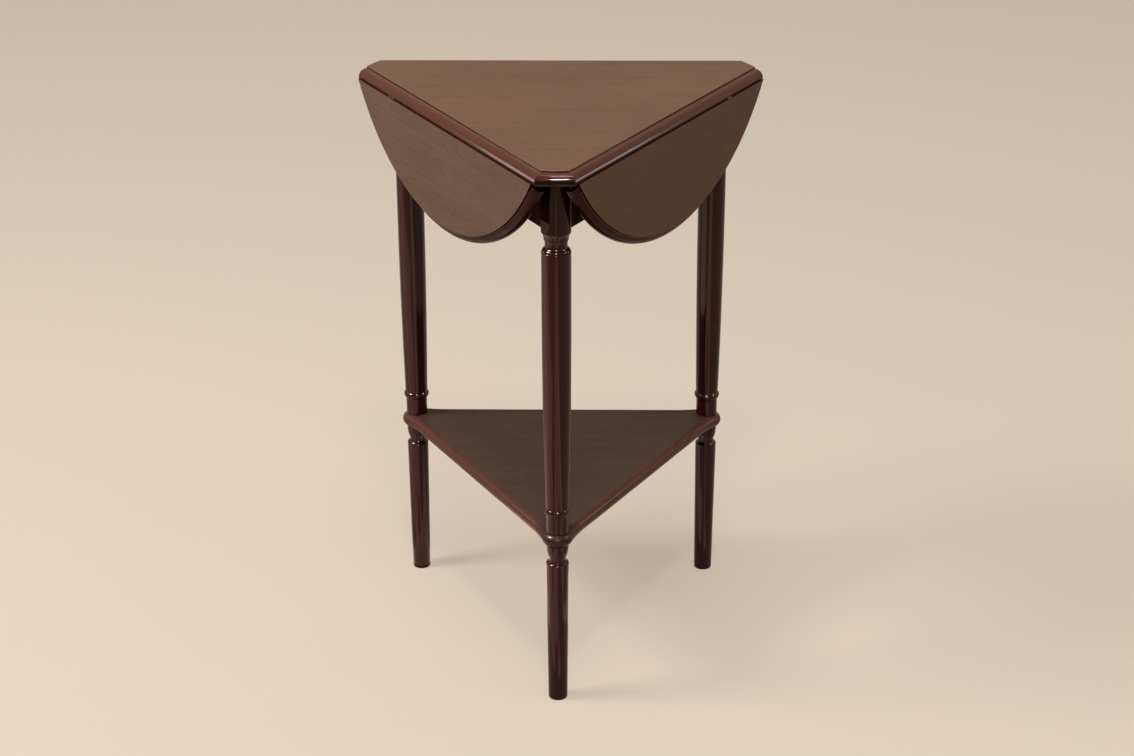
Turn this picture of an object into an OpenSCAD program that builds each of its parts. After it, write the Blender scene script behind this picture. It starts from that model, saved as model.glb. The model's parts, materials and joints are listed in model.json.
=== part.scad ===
// Drop-leaf accent table: a three-cornered centre top that turns on its frame,
// three rounded leaves on rule joints, three turned legs and a low shelf.
// Millimetres, +Z up, front leg towards -Y. The origin is on the floor, under the middle
// of the table's box. Pieces are drawn around the table's axis and moved by piece().
// Each side has its own frame: +X points out of the side, and each leg has its own: +X
// points from the table's axis to the leg.

/* [Top] */
// Height of the top's flat face above the floor
table_h = 610; // [480:1:760]
// Thickness of the centre top and of the leaves
top_t = 14; // [12.5:0.5:20]
// Diameter of the round top with its leaves raised
top_dia = 490; // [460:1:500]
// Clearance between a hanging leaf and the legs
leaf_clear = 15; // [12:0.5:20]
// Depth of the small step beside the flat face
quirk = 2.2; // [1:0.1:3]
// Gap between the rule joint's two curves
joint_gap = 0.8; // [0.5:0.1:1.2]

/* [Hinges] */
// Height of the hinge pins above the top's underside
pin_up = 2.8; // [2.6:0.1:3.4]
// Length of a hinge along the joint
hinge_w = 32; // [26:1:44]
// Distance from the end of a joint to the middle of its hinge
hinge_in = 85.6; // [70:0.1:120]
// Reach of the short plate under the centre top
short_plate = 24; // [20:1:26]
// Reach of the long plate under the leaf
long_plate = 40; // [34:1:60]
// Thickness of the hinge plates
plate_t = 1.4; // [1:0.1:1.6]
// Radius of the hinge pins
pin_r = 1.2; // [1:0.1:1.5]
// Running clearance of the leaf's knuckle on its pin
pin_clear = 0.06; // [0.03:0.01:0.1]
// Length of the screws that hold the hinges and the pivot plate
short_screw = 10.5; // [8:0.5:11]

/* [Legs] */
// Distance from the round top's edge to each leg's axis
leg_in = 52.6; // [48:0.1:60]
// Radius of a leg's thickest part
leg_r = 15; // [13:0.5:17]
// Height of the round block at the top of a leg
block_h = 63; // [56:1:90]
// Depth of the two flats on the block
flat_depth = 3; // [2:0.1:4]
// Height of the flats' curved run-outs above the block's lower edge
run_out_up = 16; // [14:1:24]
// Radius of the flats' curved run-outs
run_out_r = 40; // [30:1:40]
// Radius of the upper neck
neck_r = 11.2; // [9:0.1:12]
// Distance from the block's lower edge down to the upper neck
neck_drop = 11.5; // [10:0.5:14]
// Distance from the block's lower edge down to the shaft's shoulder
shoulder_drop = 19; // [18:0.5:22]
// Height at which the shaft starts to taper
taper_from = 450; // [350:1:460]
// Radius of the shaft just above its ring
shaft_low_r = 12.6; // [11:0.1:13.5]
// Height of the ring's middle above the shelf
ring_up = 22.7; // [14:0.1:60]
// Radius of the ring
ring_r = 14; // [13.8:0.1:16]
// Radius of the leg where it meets the shelf
ankle_r = 11.8; // [10:0.1:12.5]
// Radius of the lower neck
low_neck_r = 9.2; // [7.5:0.1:10]
// Distance from the shelf's underside down to the lower neck
low_neck_drop = 18.5; // [17:0.5:26]
// Radius of the collar under the lower neck
collar_r = 12.1; // [11.5:0.1:13]
// Radius of the foot
foot_r = 10.2; // [8:0.1:12]

/* [Frame] */
// Height of the apron boards
apron_h = 60; // [46:1:62]
// Thickness of the apron boards
apron_t = 16; // [12:0.5:18]
// Thickness of the felt pads between the frame and the top
pad_t = 1; // [0.6:0.1:2]
// Radius of the felt pads
pad_r = 8; // [5:0.5:9]
// Thickness of the pivot rail
rail_t = 18; // [14:1:24]
// Width of the pivot rail
rail_w = 60; // [40:1:80]
// Depth of the grooves that hold the pivot rail's ends
rail_housing = 5; // [3:0.5:7]
// Thickness of the corner blocks, measured towards the leg
corner_t = 21; // [16:1:26]
// Height of the corner blocks
corner_h = 40; // [30:1:44]
// Gap between a corner block and its leg
corner_gap = 11; // [8:0.5:16]
// Length of the screws that hold the corner blocks
block_screw = 24; // [18:1:26]

/* [Shelf] */
// Height of the shelf's upper face
shelf_z = 201; // [150:1:300]
// Thickness of the shelf
shelf_t = 15; // [12:0.5:20]
// Reach of each shelf edge beyond the line between its two legs
shelf_out = 12.4; // [8:0.1:13.3]
// Radius of the shelf's rounded ends around the legs
lobe_r = 16.5; // [16:0.1:18]
// Radius of the hollow curves that lead to the rounded ends
flare_r = 150; // [90:1:180]

/* [Pivot and bolts] */
// Radius of the pivot stud
stud_r = 4; // [3:0.5:5]
// Running clearance of the pivot stud in its rail
stud_clear = 0.08; // [0.03:0.01:0.1]
// Radius of the pivot plate
pivot_plate_r = 24; // [20:1:28]
// Thickness of the pivot plate
pivot_plate_t = 2.5; // [1.5:0.5:3]
// Radius of the threaded rods that join the leg halves
rod_r = 4; // [3:0.5:4.5]
// Depth of a threaded rod in each leg half
rod_depth = 20; // [16:1:40]
// Radius of the brass inserts in the lower legs
insert_r = 5.6; // [5.5:0.1:6.5]
// Length of the brass inserts
insert_h = 12; // [10:1:15]
// Radius of the hanger bolts that hold the legs
bolt_r = 3; // [2.5:0.5:4]
// Depth of a hanger bolt in its leg
bolt_depth = 20; // [14:1:24]

/* [Hidden] */
$fn = 96;
wood_red = "#4a1c17";
wood_top = "#6e5142";
wood_inner = "#8a5a3c";
brass = "#b08d45";
steel = "#a9adb2";
felt = "#2c2a28";

// Directions of the legs and of the sides, from the table's axis
front_leg_angle = -90;
right_leg_angle = 30;
left_leg_angle = 150;
left_side_angle = 210;
right_side_angle = -30;
back_side_angle = 90;
leg_angles = [right_leg_angle, left_leg_angle, front_leg_angle];
side_angles = [left_side_angle, right_side_angle, back_side_angle];

// Places of the legs and joints that follow from the driving sizes
leg_circle = top_dia / 2 - leg_in;
side_n = leg_circle / 2;
side_s = leg_circle * sqrt(3) / 2;
joint_line = side_n + leg_r + leaf_clear + pin_up;
shelf_edge = side_n + shelf_out;
axis_y = (top_dia / 2 - (joint_line - pin_up + top_t)) / 2;

// Heights that follow from the driving sizes
under_z = table_h - top_t;
frame_z = under_z - pad_t;
block_z = frame_z - block_h;
apron_z = frame_z - apron_h;
shelf_low = shelf_z - shelf_t;
shelf_mid = shelf_z - shelf_t / 2;
ring_z = shelf_z + ring_up;
pin_z = under_z + pin_up;

// Rule joint: the ovolo of the centre top and the cove of the leaf share the pin's axis
ovolo_r = top_t - quirk - pin_up;
cove_r = ovolo_r + joint_gap;
face_r = top_dia / 2 - ovolo_r;
hinge_at = sqrt(pow(face_r, 2) - pow(joint_line, 2)) - hinge_in;
big = 2 * top_dia;
skin = 1;

// Hinge: three knuckles on one pin, flush with the underside
knuckle_margin = 0.2;
knuckle_r = pin_up - knuckle_margin;
knuckle_gap = 0.3;
knuckle_w = (hinge_w - 2 * knuckle_gap) / 3;
hinge_fit = 0.3;
press_fit = 0.02;

// Legs
flat_n = leg_r - flat_depth;
flat_half = sqrt(pow(leg_r, 2) - pow(flat_n, 2));
edge_step = 0.9;
edge_h = 3.5;
cove_size = 7;
low_cove_size = 4;
ring_round = 3.2;
taper_steps = 6;
foot_edge = 0.8;
ring_stem = 0.8;
ring_stem_half = 2.4;
ring_below = 7.2;
ring_above = 5.3;
collar_below = 0.5;
collar_step = 0.8;
collar_step_h = 1.4;
collar_neck_h = 6;
ankle_step = 0.5;
ankle_h = 9;

// Shelf edges: the extra radius leaves a fine arris along both faces
nose_more = 0.15;
cut_lap = 0.12;
flare_extra_angle = 5;
edge_waste_w = 10;
blank_margin = 2;
run_out_lap = 0.05;

// Aprons, corner blocks and rail
apron_out = side_n + flat_n;
apron_in = apron_out - apron_t;
apron_end = side_s - flat_half;
corner_far = leg_circle - leg_r - corner_gap;
corner_near = corner_far - corner_t;
corner_below = 2;
corner_screw_in = 42.6;
corner_z = frame_z - rail_t - corner_h / 2 - corner_below;
corner_screw_s = side_s - corner_screw_in;
block_screw_back = 11;

// Fasteners
screw_r = 1.5;
screw_head_r = 2.9;
screw_head_h = 1.4;
plate_screw_in = 7;
long_screw_in = 18;
slot_w = 0.7;
slot_h = 0.6;
bolt_fit = 0.3;
washer_t = 1.5;
nut_h = 5.5;
nut_ratio = 1.9;
washer_ratio = 2.4;
stud_tail = 4;

// Helpers: piece() colours what is drawn around the table's axis and puts it in its place
module piece(colour) color(colour) translate([0, axis_y, 0]) children();

// A section drawn as (outwards, up) and run along a side
module along_side(length) rotate([90, 0, 0]) linear_extrude(length, center = true) children();
module at_side(angle) rotate([0, 0, angle]) children();
module at_leg(angle) rotate([0, 0, angle]) translate([leg_circle, 0, 0]) children();
module at_all_sides() for (angle = side_angles) at_side(angle) children();
module at_all_legs() for (angle = leg_angles) at_leg(angle) children();
module at_hinges() for (s = [-hinge_at, hinge_at]) translate([0, s, 0]) children();

// Moves what is drawn as the raised leaf down to where the leaf hangs at rest
module hung() translate([joint_line, 0, pin_z]) rotate([0, 90, 0])
    translate([-joint_line, 0, -pin_z]) children();

// Countersunk screw along +Z, its flat head's face at z = 0
module countersunk(length) difference() {
    rotate_extrude() polygon([
        [0, 0], [screw_head_r, 0], [screw_r, screw_head_h],
        [screw_r, length - 2 * screw_r], [0, length]
    ]);
    translate([-screw_head_r, -slot_w / 2, -slot_h]) cube([2 * screw_head_r, slot_w, 2 * slot_h]);
}

// Room for a countersunk screw
module countersunk_hole(length) rotate_extrude() polygon([
    [0, -skin], [screw_head_r, -skin], [screw_head_r, 0], [screw_r, screw_head_h],
    [screw_r, length - 2 * screw_r], [0, length]
]);

module hex_nut(hole_r, height) difference() {
    cylinder(r = hole_r * nut_ratio, h = height, $fn = 6);
    translate([0, 0, -skin]) cylinder(r = hole_r, h = height + 2 * skin);
}

module washer(hole_r) difference() {
    cylinder(r = hole_r * washer_ratio, h = washer_t);
    translate([0, 0, -skin]) cylinder(r = hole_r + bolt_fit, h = washer_t + 2 * skin);
}

// Round top: flat face, quirk and ovolo all round
module round_top() rotate_extrude() intersection() {
    union() {
        square([face_r, table_h]);
        translate([face_r, pin_z]) circle(ovolo_r);
    }
    translate([0, under_z]) square([top_dia, top_t]);
}

// Sections of the rule joint that are cut away from each board
module ovolo_waste() difference() {
    translate([joint_line, under_z - skin]) square([big, top_t + 2 * skin]);
    translate([joint_line, pin_z]) circle(ovolo_r);
}

module cove_waste() union() {
    translate([-big, under_z - skin]) square([big + joint_line + joint_gap, top_t + 2 * skin]);
    translate([-big, under_z - skin]) square([big + joint_line + cove_r, pin_up + skin]);
    translate([joint_line, pin_z]) circle(cove_r);
}

// Hinge, drawn with its leaf raised: where each screw stands, outwards from the pin
short_screws = [for (hand = [-1, 1]) [-short_plate + plate_screw_in, hand * hinge_w / 4]];
long_screws = [
    [long_plate - long_screw_in, -hinge_w / 4], [long_plate - long_screw_in, hinge_w / 4],
    [long_plate - plate_screw_in, 0]
];

module at_plate_screws(places) translate([joint_line, 0, under_z])
    for (place = places) translate([place[0], place[1], 0]) children();

module short_hinge_plate() {
    difference() {
        union() {
            translate([joint_line - short_plate, -hinge_w / 2, under_z])
                cube([short_plate, hinge_w, plate_t]);
            for (from = [-hinge_w / 2, hinge_w / 2 - knuckle_w]) {
                translate([joint_line - knuckle_r, from, under_z]) cube([knuckle_r, knuckle_w, pin_up]);
                translate([joint_line, from, pin_z]) rotate([-90, 0, 0])
                    cylinder(r = knuckle_r, h = knuckle_w);
            }
        }
        translate([joint_line - pin_up - knuckle_gap, -knuckle_w / 2 - knuckle_gap, under_z - skin])
            cube([2 * pin_up, knuckle_w + 2 * knuckle_gap, top_t]);
        translate([joint_line, -hinge_w / 2 - skin, pin_z]) rotate([-90, 0, 0])
            cylinder(r = pin_r + press_fit, h = hinge_w + 2 * skin);
        at_plate_screws(short_screws) countersunk_hole(short_screw);
    }
}

module long_hinge_plate() {
    difference() {
        union() {
            translate([joint_line + pin_up + knuckle_gap, -hinge_w / 2, under_z])
                cube([long_plate - pin_up - knuckle_gap, hinge_w, plate_t]);
            translate([joint_line, -knuckle_w / 2, under_z])
                cube([pin_up + 2 * knuckle_gap, knuckle_w, plate_t]);
            translate([joint_line, -knuckle_w / 2, pin_z]) rotate([-90, 0, 0])
                cylinder(r = knuckle_r, h = knuckle_w);
        }
        translate([joint_line, -hinge_w / 2 - skin, pin_z]) rotate([-90, 0, 0])
            cylinder(r = pin_r + pin_clear, h = hinge_w + 2 * skin);
        at_plate_screws(long_screws) countersunk_hole(short_screw);
    }
}

// Mortise in the centre top for the knuckles and for the long plate's swing
module swing_room() {
    room = hinge_w + 2 * hinge_fit;
    translate([joint_line, -room / 2, pin_z]) rotate([-90, 0, 0])
        cylinder(r = knuckle_r + hinge_fit, h = room);
    translate([joint_line - knuckle_r - hinge_fit, -room / 2, under_z - skin])
        cube([knuckle_r + ovolo_r + skin, room, plate_t + hinge_fit + skin]);
    translate([joint_line - knuckle_r - hinge_fit, -room / 2, under_z - skin])
        cube([2 * (knuckle_r + hinge_fit), room, pin_up + skin]);
}

module plate_room(near, far) translate([joint_line + near, -hinge_w / 2, under_z - skin])
    cube([far - near, hinge_w, plate_t + skin]);

// Legs
function taper(z) = max(0, taper_from - z) / (taper_from - ring_z);
function shaft_r(z) = leg_r - (leg_r - shaft_low_r) * pow(taper(z), 2);

module upper_leg_section() {
    shaft_low = ring_z + ring_above;
    shoulder_z = block_z - shoulder_drop;
    edge_r = leg_r - edge_step;
    difference() {
        union() {
            polygon(concat(
                [
                    [0, shelf_z], [ankle_r, shelf_z], [ankle_r, ring_z - ring_below],
                    [ring_r - ring_stem, ring_z - ring_stem_half],
                    [ring_r - ring_stem, ring_z + ring_stem_half],
                    [shaft_low_r, shaft_low]
                ],
                [
                    for (i = [1:taper_steps])
                    let (z = shaft_low + (taper_from - shaft_low) * i / taper_steps)
                    [shaft_r(z), z]
                ],
                [
                    [leg_r, shoulder_z], [edge_r, shoulder_z + edge_h / 2],
                    [edge_r, block_z - edge_h], [leg_r, block_z],
                    [leg_r, frame_z], [0, frame_z]
                ]
            ));
            translate([ring_r - ring_round, ring_z]) circle(ring_round);
        }
        translate([neck_r + cove_size, block_z - neck_drop]) circle(cove_size);
    }
}

module lower_leg_section() {
    collar_z = shelf_low - low_neck_drop - low_cove_size - collar_below;
    difference() {
        polygon([
            [0, 0], [foot_r - foot_edge, 0], [foot_r, foot_edge], [collar_r, collar_z],
            [collar_r - collar_step, collar_z + collar_step_h],
            [collar_r - collar_step, collar_z + collar_neck_h],
            [ankle_r - ankle_step, shelf_low - low_neck_drop + low_cove_size],
            [ankle_r, shelf_low - ankle_h], [ankle_r, shelf_low], [0, shelf_low]
        ]);
        translate([low_neck_r + low_cove_size, shelf_low - low_neck_drop]) circle(low_cove_size);
    }
}

// A leg's two flats, with their curved run-outs, and the housings for the apron ends
module block_cuts() {
    run_z = block_z + run_out_up;
    for (turn = [-1, 1]) rotate([0, 0, 60 * turn]) {
        translate([flat_n, -leg_r - skin, run_z]) cube([leg_r, 2 * (leg_r + skin), block_h]);
        translate([flat_n + run_out_r - run_out_lap, leg_r + skin, run_z]) rotate([90, 0, 0])
            cylinder(r = run_out_r, h = 2 * (leg_r + skin));
        translate([flat_n - apron_t, turn > 0 ? flat_half : -flat_half - leg_r, apron_z])
            cube([apron_t + skin, leg_r, apron_h + skin]);
    }
}

module upper_leg(angle) piece(wood_red) at_leg(angle) difference() {
    rotate_extrude() upper_leg_section();
    block_cuts();
    translate([0, 0, shelf_z - skin]) cylinder(r = rod_r, h = rod_depth + skin);
    translate([-leg_r - skin, 0, corner_z]) rotate([0, 90, 0])
        cylinder(r = bolt_r, h = bolt_depth + skin);
}

module lower_leg(angle) piece(wood_red) at_leg(angle) difference() {
    rotate_extrude() lower_leg_section();
    translate([0, 0, shelf_low - rod_depth]) cylinder(r = rod_r, h = rod_depth + skin);
    translate([0, 0, shelf_low - insert_h]) cylinder(r = insert_r, h = insert_h + skin);
}

module upper_leg_front() upper_leg(front_leg_angle);
module upper_leg_right() upper_leg(right_leg_angle);
module upper_leg_left() upper_leg(left_leg_angle);
module lower_leg_front() lower_leg(front_leg_angle);
module lower_leg_right() lower_leg(right_leg_angle);
module lower_leg_left() lower_leg(left_leg_angle);

module leg_rods() piece(steel) at_all_legs() translate([0, 0, shelf_low - rod_depth])
    cylinder(r = rod_r, h = 2 * rod_depth + shelf_t);

module leg_inserts() piece(brass) at_all_legs() translate([0, 0, shelf_low - insert_h])
    difference() {
        cylinder(r = insert_r, h = insert_h);
        translate([0, 0, -skin]) cylinder(r = rod_r, h = insert_h + 2 * skin);
    }

// Shelf: a plate whose edges are cut half round, with straight, hollow and rounded stretches
nose_r = shelf_t / 2 + nose_more;
flare_n = shelf_edge + flare_r - cut_lap;
flare_reach = flare_r + lobe_r - cut_lap;
flare_s = side_s - sqrt(pow(flare_reach, 2) - pow(flare_n - side_n, 2));
flare_turn = asin((side_s - flare_s) / flare_reach);
blank_n = side_n + lobe_r + blank_margin;
blank_x = leg_circle + lobe_r + blank_margin;
function blank_half(x) = (blank_n - x / 2) / (sqrt(3) / 2);

module shelf_blank() translate([0, 0, shelf_low]) linear_extrude(shelf_t) polygon([
    for (angle = leg_angles, hand = [-1, 1])
    let (y = hand * blank_half(blank_x))
    [blank_x * cos(angle) - y * sin(angle), blank_x * sin(angle) + y * cos(angle)]
]);

module edge_waste() difference() {
    translate([0, -shelf_t]) square([nose_r + edge_waste_w, 2 * shelf_t]);
    circle(nose_r);
}

module straight_wastes() at_all_sides() translate([shelf_edge - nose_r, 0, shelf_mid])
    along_side(2 * flare_s) edge_waste();

module lobe_wastes() at_all_legs() translate([0, 0, shelf_mid]) rotate([0, 0, -60 - flare_turn])
    rotate_extrude(angle = 120 + 2 * flare_turn) translate([lobe_r - nose_r, 0]) edge_waste();

module flare_wastes() at_all_sides() for (hand = [-1, 1])
    translate([flare_n, hand * flare_s, shelf_mid])
        rotate([0, 0, 180 - flare_extra_angle - (hand > 0 ? flare_turn : 0)])
            rotate_extrude(angle = flare_turn + 2 * flare_extra_angle) translate([flare_r + nose_r, 0])
                mirror([1, 0]) edge_waste();

module shelf() piece(wood_top) difference() {
    shelf_blank();
    straight_wastes();
    lobe_wastes();
    flare_wastes();
    at_all_legs() translate([0, 0, shelf_low - skin])
        cylinder(r = rod_r + bolt_fit, h = shelf_t + 2 * skin);
}

// Aprons
module apron(angle, housed) piece(wood_red) at_side(angle) difference() {
    translate([apron_in, -apron_end, apron_z]) cube([apron_t, 2 * apron_end, apron_h]);
    if (housed) rotate([0, 0, -angle]) pivot_rail_blank();
    for (hand = [-1, 1]) {
        block_screw_place(hand) translate([0, 0, -skin]) cylinder(r = screw_r, h = block_screw + skin);
        rotate([0, 0, 60 * hand]) translate([corner_far, 0, corner_z]) rotate([0, 90, 0])
            cylinder(r = bolt_r + bolt_fit, h = leg_circle);
    }
}

module apron_left() apron(left_side_angle, true);
module apron_right() apron(right_side_angle, true);
module apron_back() apron(back_side_angle, false);

// Corner blocks: each fills the corner between two aprons and pulls its leg in
module block_screw_place(hand)
    translate([apron_in - block_screw_back, hand * corner_screw_s, corner_z]) rotate([0, 90, 0])
        children();

function corner_half(x) = (apron_in - x / 2) / (sqrt(3) / 2);

module corner_block(angle) piece(wood_inner) difference() {
    at_side(angle) translate([0, 0, corner_z - corner_h / 2]) linear_extrude(corner_h) polygon([
        [corner_near, -corner_half(corner_near)], [corner_far, -corner_half(corner_far)],
        [corner_far, corner_half(corner_far)], [corner_near, corner_half(corner_near)]
    ]);
    at_side(angle) translate([corner_near - skin, 0, corner_z]) rotate([0, 90, 0])
        cylinder(r = bolt_r + bolt_fit, h = corner_t + 2 * skin);
    for (turn = [-1, 1]) at_side(angle + 60 * turn) block_screw_place(-turn) {
        translate([0, 0, -2 * corner_t]) cylinder(r = screw_head_r + bolt_fit, h = 2 * corner_t);
        translate([0, 0, -skin]) cylinder(r = screw_r, h = block_screw + skin);
    }
}

module corner_block_front() corner_block(front_leg_angle);
module corner_block_right() corner_block(right_leg_angle);
module corner_block_left() corner_block(left_leg_angle);

module pan_screw(length) difference() {
    union() {
        translate([0, 0, -screw_head_h]) cylinder(r = screw_head_r, h = screw_head_h);
        cylinder(r = screw_r, h = length);
    }
    translate([-screw_head_r, -slot_w / 2, -screw_head_h - slot_h])
        cube([2 * screw_head_r, slot_w, 2 * slot_h]);
}

module corner_block_screws() piece(steel)
    for (angle = side_angles, hand = [-1, 1])
        at_side(angle) block_screw_place(hand) pan_screw(block_screw);

module at_hangers(x) for (angle = leg_angles)
    at_side(angle) translate([x, 0, corner_z]) rotate([0, 90, 0]) children();

hanger_from = corner_near - washer_t - nut_h - stud_tail;
module hanger_bolts() piece(steel) at_hangers(hanger_from)
    cylinder(r = bolt_r, h = leg_circle - leg_r + bolt_depth - hanger_from);
module hanger_washers() piece(steel) at_hangers(corner_near - washer_t) washer(bolt_r);
module hanger_nuts() piece(steel) at_hangers(corner_near - washer_t - nut_h) hex_nut(bolt_r, nut_h);

// Pivot rail: housed in the left and right aprons, flush with their upper edges
function rail_half(y) = (apron_in + rail_housing + y / 2) / (sqrt(3) / 2);

module pivot_rail_blank() translate([0, 0, frame_z - rail_t]) linear_extrude(rail_t + skin) polygon([
    [-rail_half(-rail_w / 2), -rail_w / 2], [rail_half(-rail_w / 2), -rail_w / 2],
    [rail_half(rail_w / 2), rail_w / 2], [-rail_half(rail_w / 2), rail_w / 2]
]);

module pivot_rail() piece(wood_inner) difference() {
    pivot_rail_blank();
    translate([-big, -big, frame_z]) cube([2 * big, 2 * big, 2 * skin]);
    translate([0, 0, frame_z - rail_t - skin]) cylinder(r = stud_r + stud_clear, h = rail_t + 2 * skin);
}

module felt_pads() piece(felt) at_all_legs() translate([0, 0, frame_z]) cylinder(r = pad_r, h = pad_t);

// Centre top and its pivot
pivot_screw_share = 0.7;
pivot_screw_ring = pivot_screw_share * pivot_plate_r;
module at_pivot_screws() for (turn = [0:90:270]) rotate([0, 0, turn])
    translate([pivot_screw_ring, 0, under_z]) children();

module centre_top() piece(wood_top) difference() {
    round_top();
    at_all_sides() {
        along_side(big) ovolo_waste();
        at_hinges() {
            swing_room();
            plate_room(-short_plate, 0);
            at_plate_screws(short_screws) countersunk_hole(short_screw);
        }
    }
    translate([0, 0, under_z - skin]) cylinder(r = pivot_plate_r, h = pivot_plate_t + skin);
    at_pivot_screws() countersunk_hole(short_screw);
}

stud_end = frame_z - rail_t - washer_t - nut_h - stud_tail;
module pivot_plate() piece(steel) difference() {
    union() {
        translate([0, 0, under_z]) cylinder(r = pivot_plate_r, h = pivot_plate_t);
        translate([0, 0, stud_end]) cylinder(r = stud_r, h = under_z + skin - stud_end);
    }
    at_pivot_screws() countersunk_hole(short_screw);
}

module pivot_screws() piece(steel) at_pivot_screws() countersunk(short_screw);
module pivot_washer() piece(steel) translate([0, 0, frame_z - rail_t - washer_t]) washer(stud_r);
module pivot_nut() piece(steel) translate([0, 0, frame_z - rail_t - washer_t - nut_h])
    hex_nut(stud_r, nut_h);

// Hinge pieces that stay with the centre top
module hinge_plates(angle) piece(brass) at_side(angle) at_hinges() short_hinge_plate();
module hinge_pins(angle) piece(steel) at_side(angle) at_hinges()
    translate([joint_line, -hinge_w / 2, pin_z]) rotate([-90, 0, 0]) cylinder(r = pin_r, h = hinge_w);
module hinge_screws(angle) piece(brass) at_side(angle) at_hinges()
    at_plate_screws(short_screws) countersunk(short_screw);

module hinge_plates_left() hinge_plates(left_side_angle);
module hinge_plates_right() hinge_plates(right_side_angle);
module hinge_plates_back() hinge_plates(back_side_angle);
module hinge_pins_left() hinge_pins(left_side_angle);
module hinge_pins_right() hinge_pins(right_side_angle);
module hinge_pins_back() hinge_pins(back_side_angle);
module hinge_screws_left() hinge_screws(left_side_angle);
module hinge_screws_right() hinge_screws(right_side_angle);
module hinge_screws_back() hinge_screws(back_side_angle);

// Leaves, with the hinge pieces that swing with them
module leaf(angle) piece(wood_top) at_side(angle) hung() difference() {
    round_top();
    along_side(big) cove_waste();
    at_hinges() {
        plate_room(cove_r - skin, long_plate);
        at_plate_screws(long_screws) countersunk_hole(short_screw);
    }
}

module leaf_plates(angle) piece(brass) at_side(angle) hung() at_hinges() long_hinge_plate();
module leaf_screws(angle) piece(brass) at_side(angle) hung() at_hinges()
    at_plate_screws(long_screws) countersunk(short_screw);

module leaf_left() leaf(left_side_angle);
module leaf_right() leaf(right_side_angle);
module leaf_back() leaf(back_side_angle);
module leaf_plates_left() leaf_plates(left_side_angle);
module leaf_plates_right() leaf_plates(right_side_angle);
module leaf_plates_back() leaf_plates(back_side_angle);
module leaf_screws_left() leaf_screws(left_side_angle);
module leaf_screws_right() leaf_screws(right_side_angle);
module leaf_screws_back() leaf_screws(back_side_angle);

upper_leg_front();
upper_leg_right();
upper_leg_left();
lower_leg_front();
lower_leg_right();
lower_leg_left();
shelf();
leg_rods();
leg_inserts();
apron_left();
apron_right();
apron_back();
corner_block_front();
corner_block_right();
corner_block_left();
corner_block_screws();
hanger_bolts();
hanger_washers();
hanger_nuts();
pivot_rail();
felt_pads();
centre_top();
pivot_plate();
pivot_screws();
pivot_washer();
pivot_nut();
hinge_plates_left();
hinge_plates_right();
hinge_plates_back();
hinge_pins_left();
hinge_pins_right();
hinge_pins_back();
hinge_screws_left();
hinge_screws_right();
hinge_screws_back();
leaf_left();
leaf_right();
leaf_back();
leaf_plates_left();
leaf_plates_right();
leaf_plates_back();
leaf_screws_left();
leaf_screws_right();
leaf_screws_back();
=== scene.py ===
"""Drop-leaf accent table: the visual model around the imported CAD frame, in metres."""

import json
import math

import bmesh
import bpy
from mathutils import Matrix, Vector


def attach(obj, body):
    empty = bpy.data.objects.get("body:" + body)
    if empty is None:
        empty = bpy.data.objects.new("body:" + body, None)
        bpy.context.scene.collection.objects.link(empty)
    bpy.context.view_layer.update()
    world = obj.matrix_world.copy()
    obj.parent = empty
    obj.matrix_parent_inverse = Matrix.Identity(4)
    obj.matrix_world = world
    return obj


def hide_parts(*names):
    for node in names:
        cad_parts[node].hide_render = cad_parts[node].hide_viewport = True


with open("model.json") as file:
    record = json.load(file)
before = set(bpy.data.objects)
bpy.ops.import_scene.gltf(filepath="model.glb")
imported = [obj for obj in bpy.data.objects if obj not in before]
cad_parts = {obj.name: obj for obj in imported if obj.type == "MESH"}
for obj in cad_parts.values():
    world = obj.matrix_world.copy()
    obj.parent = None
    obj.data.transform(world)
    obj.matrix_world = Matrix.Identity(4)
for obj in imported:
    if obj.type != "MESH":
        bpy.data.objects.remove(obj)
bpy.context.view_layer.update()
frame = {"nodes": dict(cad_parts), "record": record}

MM = 0.001
scene = bpy.context.scene

# Camera, from solving the photograph: place in millimetres from the table's axis, angles in radians
AXIS_Y = 52.4
CAM_X, CAM_BACK, CAM_UP = 40.02, 2312.35, 1334.4
CAM_PITCH, CAM_YAW, CAM_ROLL = 0.4251, -0.014, -0.0022
FOCAL_PX = 2309.64
PHOTO_W = 1134
SENSOR = 36.0
CLIP_NEAR, CLIP_FAR = 0.05, 50


def make_camera():
    pitch_cos, pitch_sin = math.cos(CAM_PITCH), math.sin(CAM_PITCH)
    yaw_cos, yaw_sin = math.cos(CAM_YAW), math.sin(CAM_YAW)
    roll_cos, roll_sin = math.cos(CAM_ROLL), math.sin(CAM_ROLL)
    ahead = Vector((yaw_sin * pitch_cos, yaw_cos * pitch_cos, -pitch_sin))
    level = Vector((yaw_cos, -yaw_sin, 0))
    upright = level.cross(ahead)
    side = roll_cos * level + roll_sin * upright
    up = -roll_sin * level + roll_cos * upright
    data = bpy.data.cameras.new("camera")
    data.sensor_width = SENSOR
    data.lens = FOCAL_PX * SENSOR / PHOTO_W
    data.clip_start, data.clip_end = CLIP_NEAR, CLIP_FAR
    cam = bpy.data.objects.new("camera", data)
    scene.collection.objects.link(cam)
    turn = Matrix((side, up, -ahead)).transposed().to_4x4()
    place = Vector((CAM_X, AXIS_Y - CAM_BACK, CAM_UP)) * MM
    cam.matrix_world = Matrix.Translation(place) @ turn
    scene.camera = cam


make_camera()

# Sizes in millimetres, as in the part's source: boards and their moulding
TABLE_H = 610
TOP_R, TOP_T = 245, 14
JOINT = 129.0
QUIRK, GAP, PIN_UP = 2.2, 0.8, 2.8
OVOLO_R = TOP_T - QUIRK - PIN_UP
COVE_R = OVOLO_R + GAP
FACE_R = TOP_R - OVOLO_R
UNDER_Z = TABLE_H - TOP_T
PIN_Z = UNDER_Z + PIN_UP

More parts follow.
